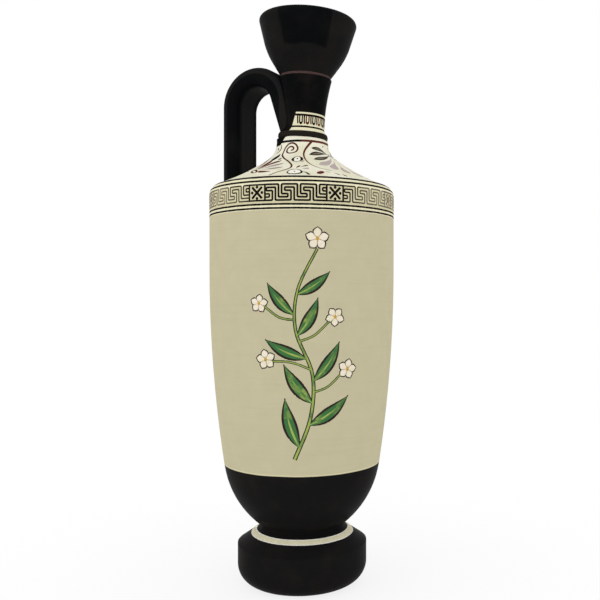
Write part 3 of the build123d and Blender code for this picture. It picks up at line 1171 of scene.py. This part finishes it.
class LEKYTHOS_OT_tongues(bpy.types.Operator):
    """Draws the tongues round the neck's foot"""

    bl_idname = "lekythos.tongues"
    bl_label = "Draw the tongues"

    # Heights over the neck's seat and widths are in millimetres, and turns in degrees.
    first_tongue = 22.8
    lines = ((5.55, 1.05), (11.75, 1.15))
    tongue_top = 11.4
    tongue_foot = 8.2
    tongue_half = 0.72
    tongue_wall = 11.6
    arm_width = 0.7
    drop_width = 1.5
    drop_power = 5
    drop_steps = 8
    bar_foot = 7.1
    bar_width = 0.74
    bar_slant = 1

    def execute(self, context):
        paints, bands = context.scene.lekythos_paints, context.scene.lekythos_bands
        neck = Neck("neck")
        black = Painter(neck, paint_finish("tongue_black", paints.line, paints.worn_line, wear=0.06))
        red = Painter(neck, paint_finish("tongue_red", paints.red, paints.tendril, wear=0.3))
        for height, width in self.lines:
            black.arc(*neck.bare_turns(height), height, width)
        pitch = 360 / bands.tongues
        for count in range(bands.tongues):
            turn = self.first_tongue + pitch * count
            self.tongue(neck, red if count % 2 else black, turn)
            self.bar(neck, black, turn + pitch / 2)
        black.dry("neck_tongues_black", "black_glaze")
        red.dry("neck_tongues_red", "black_glaze")
        return {"FINISHED"}

    def bare(self, neck, turn):
        """Whether a turn lies clear of the glaze round the handle's root."""
        start, end = neck.bare_turns(self.tongue_top)
        return start < (turn + 90) % 360 - 90 < end

    def bar(self, neck, brush, turn):
        """One bar between two tongues, a little aslant at its foot."""
        if self.bare(neck, turn):
            middle = (self.bar_foot + self.tongue_top) / 2
            knots = ((turn + self.bar_slant, self.bar_foot), (turn, middle), (turn, self.tongue_top))
            brush.stroke(curve(knots), even(self.bar_width))

    def tongue(self, neck, brush, turn):
        """One tongue: two thin arms that meet in a heavy drop."""
        sheet = flat(turn, self.tongue_foot, self.tongue_wall)
        half, rise = self.tongue_half, self.tongue_top - self.tongue_foot
        left, right = sheet(-half, rise), sheet(half, rise)
        if not (self.bare(neck, left.x) and self.bare(neck, right.x)):
            return
        angles = [math.pi * (1 + step / self.drop_steps) for step in range(self.drop_steps + 1)]
        loop = [left, *(sheet(half * math.cos(angle), half * math.sin(angle)) for angle in angles), right]
        swell = self.drop_width - self.arm_width

        def weight(share):
            return self.arm_width + swell * math.sin(math.pi * share) ** self.drop_power

        brush.stroke(curve(loop, 3), weight)


Blossom = namedtuple("Blossom", "share reach sag size turn")


class LEKYTHOS_OT_sprig(bpy.types.Operator):
    """Paints a leafy sprig with small blossoms on the field"""

    bl_idname = "lekythos.sprig"
    bl_label = "Paint the sprig"

    # The turn of the sprig's middle, the field's radius, and the stem across and up the field.
    middle = 31
    radius = 47
    stem_knots = ((-5, 74), (3, 94), (4, 116), (-4, 138), (-3, 158), (6, 178))
    stem_widths = (1.4, 0.7)
    stem_edges = (2.3, 1.5)
    stalk_width = 0.65
    stalk_edge = 1.3

    # The leaves: shares of the stem, angles in radians, and lengths and widths from the lowest one up.
    leaves = 8
    first_leaf = 0.07
    leaf_step = 0.105
    leaf_spread = 0.95
    leaf_curl = 0.5
    leaf_lengths = (26, 17)
    leaf_widths = (6.8, 4.8)
    leaf_edge = 0.7
    leaf_peak = 0.45
    # The painted highlight along each leaf's rib: where it ends, its width and where it is broadest, as
    # shares.
    highlight_end = 0.75
    highlight_width = 0.22
    highlight_peak = 0.4
    blade_steps = 24

    # The blossoms: sizes and petal_edge are in millimetres, turns in radians, the rest shares of a size.
    side_blossoms = (
        Blossom(0.33, (17, 11), 2, 4.8, 0.1),
        Blossom(0.435, (-22, 5), -1.5, 4.7, 0.5),
        Blossom(0.55, (17, 12), 2, 4.5, 0.9),
        Blossom(0.645, (-17, 8), 2, 4.3, 0.2),
    )
    top_size = 5.4
    top_turn = 0.3
    top_rise = 0.9
    stalk_gap = 0.7
    petals = 5
    petal_edge = 0.5
    petal_breadth = 0.78
    petal_edge_breadth = 0.92
    petal_peak = 0.62
    heart_size = 0.42

    def execute(self, context):
        paints = context.scene.lekythos_paints
        # Each brush's paint, and how thick it lies in millimetres.
        brushes = {
            "outlines": (paint_finish("outline_paint", paints.outline, paints.worn_line, wear=0.25), 0.08),
            "leaves": (paint_finish("leaf_green_paint", paints.green, paints.lime, wear=0.35), 0.13),
            "stem": (paint_finish("young_green_and_highlight_paint", paints.lime, paints.green, wear=0.4), 0.17),
            # The young green paints the stem and stalks, and also the painted highlight along each leaf's
            # rib.
            "petals": (paint_finish("petal_paint", paints.petal, paints.cream, wear=0.4), 0.21),
            "hearts": (paint_finish("pollen_paint", paints.pollen, paints.tendril, wear=0.3), 0.27),
        }
        side = Side()
        self.sheet = flat(self.middle, 0, self.radius)
        self.brushes = {name: Painter(side, *brush) for name, brush in brushes.items()}
        stem = curve(self.stem_knots, 9)
        self.shoot(stem, taper(*self.stem_edges), taper(*self.stem_widths))
        for count in range(self.leaves):
            share = self.first_leaf + self.leaf_step * count
            step = round(share * (len(stem) - 2))
            self.leaf(stem[step], stem[step + 1] - stem[step], 1 if count % 2 else -1, share)
        self.blossom(stem[-1] + Vector((0, self.top_size * self.top_rise)), self.top_size, self.top_turn)
        for blossom in self.side_blossoms:
            self.side_blossom(stem[round(blossom.share * (len(stem) - 1))], blossom)
        for name, brush in self.brushes.items():
            brush.dry("sprig_" + name)
        return {"FINISHED"}

    def trace(self, brush, line, width):
        """A stroke along a line in millimetres across and up the field."""
        self.brushes[brush].stroke([self.sheet(*point) for point in line], width)

    def shoot(self, line, edge, width):
        """A stem or stalk: an outline with young green along it."""
        self.trace("outlines", line, edge)
        self.trace("stem", line, width)

    def blade(self, root, rising, size, curl=0, end=1):
        """A leaf's middle line, or the first part of it, which bends as it grows."""
        place, line = Vector(root), [Vector(root)]
        for step in range(self.blade_steps):
            angle = rising + curl * step / self.blade_steps
            place = place + Vector((math.cos(angle), math.sin(angle))) * size / self.blade_steps
            line.append(place)
        return line[:round(end * self.blade_steps) + 1]

    def leaf(self, root, along, hand, share):
        """One lance-shaped leaf on the stem: outline, blade and a painted highlight along its rib."""
        rising = math.atan2(along.y, along.x) - hand * self.leaf_spread
        curl = hand * self.leaf_curl
        size, width = taper(*self.leaf_lengths)(share), taper(*self.leaf_widths)(share)
        edge = self.blade(root, rising, size + self.leaf_edge, curl)
        self.trace("outlines", edge, petal(width + self.leaf_edge, self.leaf_peak))
        blade = self.blade(root, rising, size, curl)
        self.trace("leaves", blade, petal(width - self.leaf_edge, self.leaf_peak))
        # Painted highlight: a narrow yellow-green streak along the rib from the leaf's root.
        rib_highlight = self.blade(root, rising, size, curl, self.highlight_end)
        self.trace("stem", rib_highlight, petal(width * self.highlight_width, self.highlight_peak))

    def side_blossom(self, start, blossom):
        """A blossom beside the stem, on a stalk that sags."""
        reach = Vector(blossom.reach)
        tip = start + reach - reach.normalized() * blossom.size * self.stalk_gap
        middle = start.lerp(tip, 0.5) - Vector((0, blossom.sag))
        self.shoot(curve([start, middle, tip], 6), even(self.stalk_edge), even(self.stalk_width))
        self.blossom(start + reach, blossom.size, blossom.turn)

    def blossom(self, centre, size, turn):
        """Five petals round a yellow heart."""
        edge = petal(size * self.petal_edge_breadth, self.petal_peak)
        breadth = petal(size * self.petal_breadth, self.petal_peak)
        for count in range(self.petals):
            rising = math.tau * count / self.petals + turn
            self.trace("outlines", self.blade(centre, rising, size + self.petal_edge), edge)
            self.trace("petals", self.blade(centre, rising, size), breadth)
        heart = size * self.heart_size
        self.brushes["hearts"].spot(*self.sheet(*centre), heart, heart)


class LEKYTHOS_OT_stage(bpy.types.Operator):
    """Sets the pale floor, the soft light and the camera"""

    bl_idname = "lekythos.stage"
    bl_label = "Set the stage"

    # Sizes and places are in metres.
    key_place = (-0.9, -1.3, 1.1)
    fill_place = (1.3, -0.7, 0.8)
    lamp_size = 1.4
    floor_radius = 6
    floor_sides = 96
    floor_tint = (0.93, 0.93, 0.93)
    white = (1, 1, 1)
    shadow_share = 0.18
    shadow_reach = 150 * MM
    shadow_soft = 220 * MM

    def execute(self, context):
        studio = context.scene.lekythos_studio
        self.light_room(context, studio)
        self.lay_floor(context)
        self.hang_lamp(context, "key_lamp", self.key_place, studio.key)
        self.hang_lamp(context, "fill_lamp", self.fill_place, studio.fill)
        self.set_camera(context, studio)
        context.scene.view_settings.view_transform = "Standard"
        return {"FINISHED"}

    def seen_rays(self, finish):
        """1 for rays that see the background itself: straight, mirrored or through glass."""
        rays = finish.node("ShaderNodeLightPath")
        return rays["Is Camera Ray"] + rays["Is Glossy Ray"] + rays["Is Transmission Ray"]

    def light_room(self, context, studio):
        """An even white sky that shows white and lights a little less."""
        room = bpy.data.worlds.new("studio_sky")
        context.scene.world = room
        finish = Finish(room)
        strength = studio.sky + (1 - studio.sky) * self.seen_rays(finish)
        sky = finish.node("ShaderNodeBackground", None, {"Color": self.white, "Strength": strength})
        finish.node("ShaderNodeOutputWorld", None, {"Surface": sky})

    def floor_finish(self):
        """Matt white that keeps a soft shadow near the vessel and shows plain white further off."""
        finish = new_finish("floor_white")
        reach = finish.vector("LENGTH", finish.place())["Value"]
        clear = finish.rise(reach, self.shadow_reach, self.shadow_soft)
        shown = self.seen_rays(finish) * (1 - self.shadow_share + self.shadow_share * clear)
        matt = finish.node("ShaderNodeBsdfDiffuse", None, {"Color": self.floor_tint})
        glow = finish.node("ShaderNodeEmission", None, {"Color": self.white, "Strength": 1})
        both = finish.node("ShaderNodeMixShader", None, {"Fac": shown, "Shader": matt, "Shader_001": glow})
        finish.node("ShaderNodeOutputMaterial", None, {"Surface": both})
        return finish.owner

    def lay_floor(self, context):
        """A round floor under the vessel."""
        mesh = bmesh.new()
        bmesh.ops.create_circle(mesh, cap_ends=True, segments=self.floor_sides, radius=self.floor_radius)
        data = bpy.data.meshes.new("floor")
        mesh.to_mesh(data)
        mesh.free()
        data.materials.append(self.floor_finish())
        floor = bpy.data.objects.new("floor", data)
        context.scene.collection.objects.link(floor)

    def hang_lamp(self, context, name, place, power):
        """A square soft lamp that faces the vessel's middle."""
        lamp = bpy.data.lights.new(name, "AREA")
        lamp.size = self.lamp_size
        lamp.energy = power
        hung = bpy.data.objects.new(name, lamp)
        hung.location = place
        middle = (cad_box[0] + cad_box[1]) / 2
        hung.rotation_euler = (middle - hung.location).to_track_quat("-Z", "Y").to_euler()
        context.scene.collection.objects.link(hung)

    def set_camera(self, context, studio):
        """The camera, level with the body, turned a little and shifted back."""
        lens = bpy.data.cameras.new("camera")
        lens.lens = studio.lens
        lens.shift_x = studio.shift
        camera = bpy.data.objects.new("camera", lens)
        toward = heading(math.degrees(studio.turn))
        right = heading(math.degrees(studio.turn) + 90)
        camera.location = toward * studio.distance + Vector((0, 0, studio.height))
        forward = right * math.sin(studio.swing) - toward * math.cos(studio.swing)
        camera.rotation_euler = forward.to_track_quat("-Z", "Y").to_euler()
        context.scene.collection.objects.link(camera)
        context.scene.camera = camera


SETTINGS = {
    "lekythos_paints": LekythosPaints,
    "lekythos_bands": LekythosBands,
    "lekythos_studio": LekythosStudio,
}

PIECE_OPERATORS = (
    LEKYTHOS_OT_glaze,
    LEKYTHOS_OT_bands,
    LEKYTHOS_OT_meander,
    LEKYTHOS_OT_palmettes,
    LEKYTHOS_OT_tongues,
    LEKYTHOS_OT_sprig,
    LEKYTHOS_OT_stage,
)


class LEKYTHOS_PT_dressing(bpy.types.Panel):
    """Lists the steps of dressing the lekythos"""

    bl_label = "Lekythos"
    bl_space_type = "VIEW_3D"
    bl_region_type = "UI"
    bl_category = "Lekythos"

    def draw(self, context):
        for operator in PIECE_OPERATORS:
            self.layout.operator(operator.bl_idname)
        for name in SETTINGS:
            settings = getattr(context.scene, name)
            for setting in settings.__annotations__:
                self.layout.prop(settings, setting)


CLASSES = (*SETTINGS.values(), *PIECE_OPERATORS, LEKYTHOS_PT_dressing)


def register():
    for group in CLASSES:
        bpy.utils.register_class(group)
    for name, group in SETTINGS.items():
        setattr(bpy.types.Scene, name, PointerProperty(type=group))


def unregister():
    for name in SETTINGS:
        delattr(bpy.types.Scene, name)
    for group in reversed(CLASSES):
        bpy.utils.unregister_class(group)


def main():
    """Dresses the vessel."""
    register()
    bpy.ops.lekythos.glaze()
    bpy.ops.lekythos.bands()
    bpy.ops.lekythos.meander()
    bpy.ops.lekythos.palmettes()
    bpy.ops.lekythos.tongues()
    bpy.ops.lekythos.sprig()
    bpy.ops.lekythos.stage()


if __name__ == "__main__":
    main()
